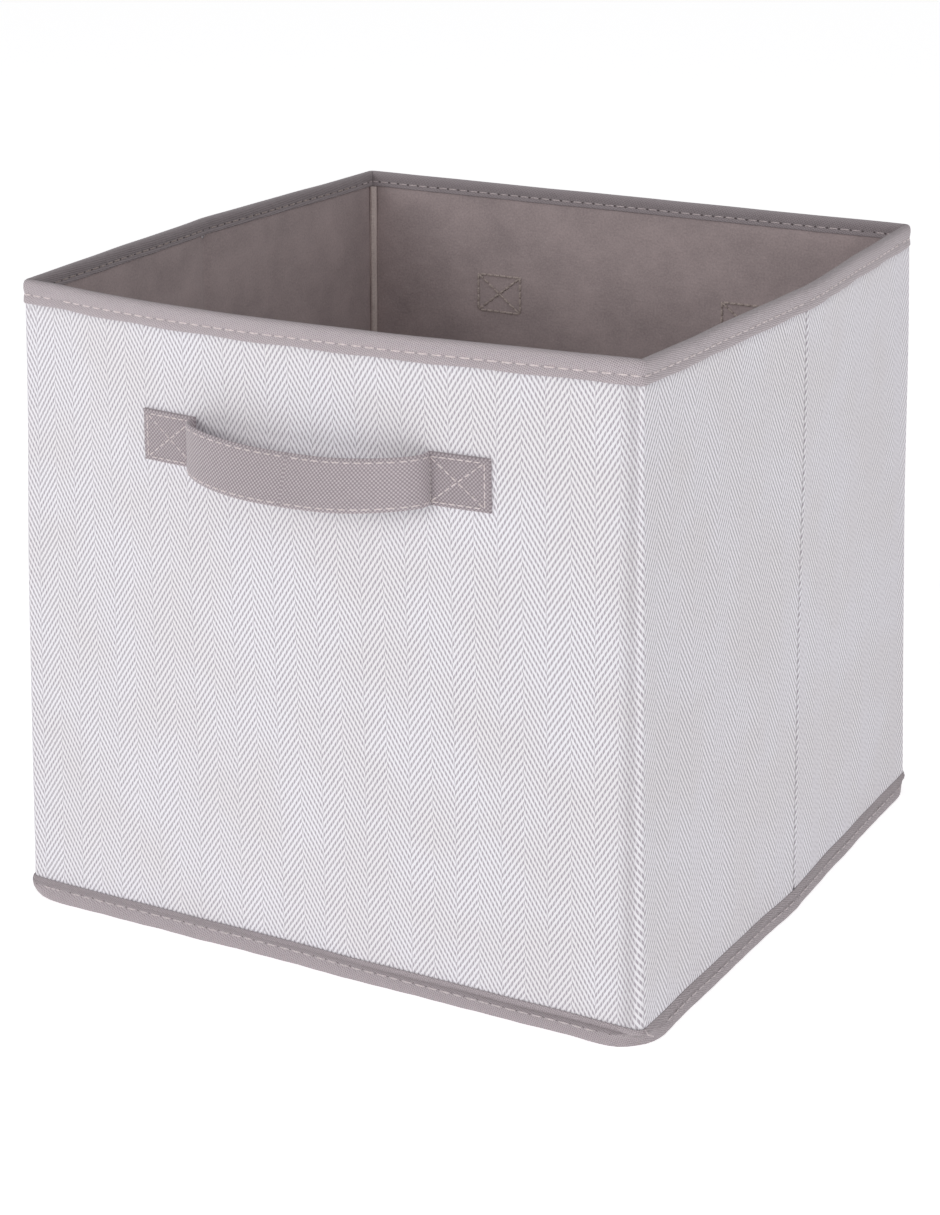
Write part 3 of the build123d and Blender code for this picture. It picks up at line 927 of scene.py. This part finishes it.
def sewnEnd(wallName, side):
    # A flat patch on the wall whose edges fall away.
    near, far = strap["half"] - 0.6, strap["half"] + strap["end"]
    edge = np.array([0, 0.25, 0.7, 1.4])
    x = np.concatenate([near + edge, np.linspace(near + 2.5, far - 2.5, 14), far - edge[::-1]])
    half = strap["width"] / 2
    z = np.concatenate([-half + edge, np.linspace(-half + 2.2, half - 2.2, 10), half - edge[::-1]])
    x, z = np.meshgrid(x, z, indexing="ij")
    rim = np.minimum(np.minimum(x - near, far - x), half - abs(z))
    lift = np.interp(rim, [0, 0.25, 0.7, 1.4], [1.3, 1.75, 1.95, 2.0])
    row = np.minimum(abs(rim - boxSewing["edge"]), 2)
    lift = lift - 0.22 * np.exp(-(row / 0.7) ** 2) + 0.1 * np.sin(x / 3.3 + z / 4.1)
    x = side * x
    if side < 0:
        x, z, lift = x[::-1], z[::-1], lift[::-1]
    outer = handlePlace(wallName, x, lift, strap["height"] + z)
    inner = handlePlace(wallName, x, -0.1 + 0 * lift, strap["height"] + z)
    uv = np.stack([x, z], -1)
    return shell(f"{wallName}SewnEnd{'Left' if side < 0 else 'Right'}", outer, inner, uv, strapWebbing)


def boxRows(wallName, side, out, sense):
    near, far = side * (strap["half"] + 0.6), side * (strap["half"] + strap["end"] - boxSewing["endInset"])
    low = strap["height"] - strap["width"] / 2 + boxSewing["edge"]
    high = strap["height"] + strap["width"] / 2 - boxSewing["edge"]
    lines = [((near, low), (far, low)), ((near, high), (far, high)), ((near, low), (near, high)),
             ((far, low), (far, high)), ((near, low), (far, high)), ((near, high), (far, low))]
    rows = []
    for start, end in lines:
        path, length = flatRow(wallName, start, end, out, sense)
        rows.append((path, *dashesOver(length, boxSewing["pitch"], boxSewing["dash"]), boxSewing["size"]))
    return rows


def handleParts(wallName):
    wallBody, handleBody = f"{wallName}_wall", f"{wallName}_handle"
    section = strapSection()
    for side in (-1, 1):
        tag = "Left" if side < 0 else "Right"
        s = np.linspace(0, 1, 64)[:, None]
        loops = strapPoint(wallName, side, s, section[:, 0][None, :], section[:, 1][None, :])
        along = np.interp(s, strapTable, strapLength)
        uv = np.stack(np.broadcast_arrays(along, section[:, 0][None, :]), -1)
        piece = band(f"{wallName}Strap{tag}", loops, uv, strapWebbing)
        facing(piece)
        rows = []
        total = strapLength[-1]
        for height in (-1, 1):
            path = strapRow(wallName, side, height * (strap["width"] / 2 - boxSewing["edge"]))
            rows.append((path, *dashesOver(total, 5.2, 3.7, 1.2), boxSewing["size"]))
        stitches = threads(f"{wallName}StrapStitches{tag}", rows, sewingThread)
        for one, slotName in ((piece, "strap_webbing"), (stitches, "sewing_thread")):
            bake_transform(one)
        if side < 0:
            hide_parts(f"{wallName}_handle_strap")
            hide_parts(f"{wallName}_handle_strap_stitching")
        patch = sewnEnd(wallName, side)
        # Painted shade over each sewn end, stronger on the right one.
        note(patch, "fold", [np.full(len(patch.data.vertices), 0.12 if side < 0 else 0.2)])
        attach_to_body(patch, wallBody)
    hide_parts(f"{wallName}_handle_sewn_ends")
    outside = [row for side in (-1, 1) for row in boxRows(wallName, side, 1.95, 1)]
    inside = [(path, starts, lengths * 1.25, size * 2.2) for side in (-1, 1)
              for path, starts, lengths, size in boxRows(wallName, side, -wall["thick"] - 0.2, -1)]
    marks = threads(f"{wallName}BoxStitches", outside, sewingThread)
    backs = threads(f"{wallName}BoxStitchesInside", inside, shadedInnerThread)
    for one in (marks, backs):
        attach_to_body(one, wallBody)
    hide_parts(f"{wallName}_handle_box_stitching")


for wallName in ("front", "back"):
    handleParts(wallName)
print("stage: handles")

# Floor, light and camera.
floorTone = dict(size=18.0, colour=tone(249, 249, 250), glow=0.56)
bpy.ops.mesh.primitive_plane_add(size=floorTone["size"], location=(0, 0, 0))
floor = bpy.context.object
floor.name = "floor"
floorPaint, t, skin, where = cloth("floorPaint", 0.8, 0.0)
skin.inputs["Base Color"].default_value = floorTone["colour"]
skin.inputs["Emission Color"].default_value = (1, 1, 1, 1)
skin.inputs["Emission Strength"].default_value = floorTone["glow"]
floor.data.materials.append(floorPaint)

# The backdrop is seen at full white but lights the bin with less.
studio = dict(fill=0.44, backdrop=1.0)
world = bpy.data.worlds.new("studio")
world.use_nodes = True
worldTree = world.node_tree
seen = node(worldTree, "ShaderNodeLightPath").outputs["Is Camera Ray"]
worldTree.nodes["Background"].inputs["Color"].default_value = (1.0, 1.0, 1.0, 1)
strength = ramp(worldTree, seen, 0.0, 1.0, studio["fill"], studio["backdrop"])
worldTree.links.new(strength, worldTree.nodes["Background"].inputs["Strength"])
scene.world = world


def softbox(name, stands, aim, size, power):
    # A rectangular lamp that stands at one place and points at another.
    light = bpy.data.lights.new(name, "AREA")
    light.shape, light.size, light.size_y = "RECTANGLE", size[0], size[1]
    light.energy = power
    lamp = bpy.data.objects.new(name, light)
    lamp.location = stands
    lamp.rotation_euler = (Vector(aim) - Vector(stands)).to_track_quat("-Z", "Y").to_euler()
    scene.collection.objects.link(lamp)


softbox("keyLight", (-0.8, -2.4, 1.0), (0, 0, 0.25), (1.6, 0.8), 23.7)
softbox("sideLight", (2.2, -0.6, 1.0), (0, 0, 0.15), (1.2, 1.2), 10.5)

# Camera: yaw, pitch and roll in degrees, its place, its lens in millimetres and its rise.
view = dict(yaw=28.901, pitch=15.876, roll=-0.154, place=(0.6300, -1.1582, 0.5992),
            lens=80.865185, shift=-0.148148)
yaw, pitch, roll = (math.radians(view[key]) for key in ("yaw", "pitch", "roll"))
spin = np.array([[math.cos(yaw), math.sin(yaw), 0], [-math.sin(yaw), math.cos(yaw), 0], [0, 0, 1]])
look = np.array([[1, 0, 0], [0, 0, -1], [0, 1, 0]])
tip = np.array([[1, 0, 0], [0, math.cos(pitch), -math.sin(pitch)], [0, math.sin(pitch), math.cos(pitch)]])
level = np.array([[math.cos(roll), -math.sin(roll), 0], [math.sin(roll), math.cos(roll), 0], [0, 0, 1]])
axes = level @ tip @ look @ spin
lens = bpy.data.cameras.new("camera")
lens.sensor_width = 36
lens.lens = view["lens"]
lens.shift_y = view["shift"]
lens.clip_start, lens.clip_end = 0.05, 60
camera = bpy.data.objects.new("camera", lens)
turned = Matrix([[*axes[0]], [*(-axes[1])], [*(-axes[2])]]).transposed().to_4x4()
turned.translation = view["place"]
camera.matrix_world = turned
scene.collection.objects.link(camera)
scene.camera = camera
scene.view_settings.view_transform = "Standard"
print("stage: floor, light and camera")
